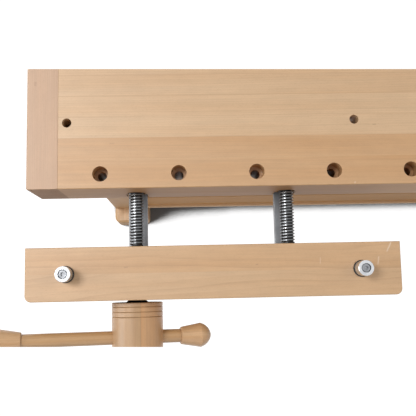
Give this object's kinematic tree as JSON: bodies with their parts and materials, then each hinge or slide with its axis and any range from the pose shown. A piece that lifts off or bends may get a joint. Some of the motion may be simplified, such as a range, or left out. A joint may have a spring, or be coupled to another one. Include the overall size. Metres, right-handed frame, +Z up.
{
  "type": "woodworking bench with vises",
  "caption": "Wooden workbench on trestles with a chain-linked twin-screw front vise, a single-screw end vise, a row of dog holes and a low shelf.",
  "frame": {"origin": "on the floor under the middle of the whole bench, hubs and handles included", "axes": "+X along the bench towards the end vise, +Y from the front edge towards the back, +Z up"},
  "size_m": [2.3016, 0.9219, 0.888],
  "materials": {
    "beech_top": "oiled, planed smooth",
    "beech_frame": "oiled",
    "beech_rail": "oiled, darker stock",
    "beech_jaw": "oiled, planed smooth",
    "turned_beech": "turned and lacquered",
    "handle_wood": "turned and lacquered",
    "ground_steel": "ground",
    "screw_steel": "rolled thread, bright crests",
    "zinc_steel": "zinc plated",
    "cast_nut": "painted black",
    "bush_brass": "turned",
    "black_collar": "black, satin",
    "dog_aluminium": "polished",
    "ring_rubber": "black",
    "chain_steel": "oiled"
  },
  "bodies": {
    "bench": {"top_slab": "beech_top", "dog_strip": "beech_top", "back_apron": "beech_top", "left_end_cap": "beech_top", "right_end_cap": "beech_top", "front_stretcher": "beech_rail", "back_stretcher": "beech_rail", "shelf_board": "beech_frame", "shelf_cleats": "beech_frame", "left_foot": "beech_frame", "left_head_rail": "beech_frame", "left_legs": "beech_frame", "right_foot": "beech_frame", "right_head_rail": "beech_frame", "right_legs": "beech_frame", "frame_bolts": "zinc_steel", "barrel_nuts": "zinc_steel", "lag_bolts": "zinc_steel", "bench_wood_screws": "zinc_steel", "front_guide_rail": "beech_frame", "front_nut_left": "cast_nut", "front_nut_right": "cast_nut", "end_guide_rail": "beech_frame", "end_nut_middle": "cast_nut"},
    "front_jaw": {"front_jaw": "beech_jaw", "front_jaw_bushes": "bush_brass", "front_bar_bolts": "zinc_steel", "front_guide_bar_left": "ground_steel", "front_guide_bar_right": "ground_steel", "front_jaw_cover": "beech_jaw", "front_cover_screws": "zinc_steel", "drive_chain": "chain_steel"},
    "front_drive_screw": {"front_drive_screw": "screw_steel", "front_hub": "turned_beech", "front_hub_collar": "black_collar", "front_hub_pin": "zinc_steel", "drive_sprocket": "zinc_steel"},
    "front_follower_screw": {"front_follower_screw": "screw_steel", "follower_sprocket": "zinc_steel"},
    "front_handle": {"front_handle_bar": "handle_wood", "front_handle_knobs": "handle_wood"},
    "left_dog": {"left_dog_head": "dog_aluminium", "left_dog_ring": "ring_rubber", "left_dog_stem": "ground_steel", "left_dog_screw": "zinc_steel"},
    "right_dog": {"right_dog_head": "dog_aluminium", "right_dog_ring": "ring_rubber", "right_dog_stem": "ground_steel", "right_dog_screw": "zinc_steel"},
    "end_jaw": {"end_jaw": "beech_jaw", "end_jaw_bushes": "bush_brass", "end_bar_bolts": "zinc_steel", "end_guide_bar_front": "ground_steel", "end_guide_bar_back": "ground_steel"},
    "end_drive_screw": {"end_drive_screw": "screw_steel", "end_hub": "turned_beech", "end_hub_collar": "black_collar", "end_hub_pin": "zinc_steel"},
    "end_handle": {"end_handle_bar": "handle_wood", "end_handle_knobs": "handle_wood"}
  },
  "joints": [
    {"name": "front_jaw_slide", "type": "slide", "parent": "bench", "child": "front_jaw", "axis": [0, -1, 0], "range_m": [-0.0921, 0.1001]},
    {"name": "front_screw_turn", "type": "hinge", "parent": "front_jaw", "child": "front_drive_screw", "pos_m": [-0.91948, -0.3656, 0.798], "axis": [0, -1, 0], "range_deg": [-6624, 7200], "deforming": ["drive_chain"]},
    {"name": "front_follower_turn", "type": "hinge", "parent": "front_jaw", "child": "front_follower_screw", "pos_m": [-0.66707, -0.3656, 0.798], "axis": [0, -1, 0], "range_deg": [-6625, 7201]},
    {"name": "front_handle_slide", "type": "slide", "parent": "front_drive_screw", "child": "front_handle", "axis": [0.9848, 0, -0.1736], "range_m": [-0.0289, 0.1416]},
    {"name": "left_dog_lift", "type": "slide", "parent": "front_jaw", "child": "left_dog", "axis": [0, 0, 1], "range_m": [0, 0.055]},
    {"name": "right_dog_lift", "type": "slide", "parent": "front_jaw", "child": "right_dog", "axis": [0, 0, 1], "range_m": [0, 0.055]},
    {"name": "end_jaw_slide", "type": "slide", "parent": "bench", "child": "end_jaw", "axis": [1, 0, 0], "range_m": [-0.0596, 0.0901]},
    {"name": "end_screw_turn", "type": "hinge", "parent": "end_jaw", "child": "end_drive_screw", "pos_m": [1.05522, 0.0212, 0.798], "axis": [1, 0, 0], "range_deg": [-4284, 6480]},
    {"name": "end_handle_slide", "type": "slide", "parent": "end_drive_screw", "child": "end_handle", "axis": [0, 0.766, -0.6428], "range_m": [-0.1705, 0]}
  ],
  "couplings": [
    {"joint": "front_jaw_slide", "follows": "front_screw_turn", "m_per_rad": 0.00079577},
    {"joint": "front_follower_turn", "follows": "front_screw_turn", "ratio": 1},
    {"joint": "end_jaw_slide", "follows": "end_screw_turn", "m_per_rad": 0.00079577}
  ]
}
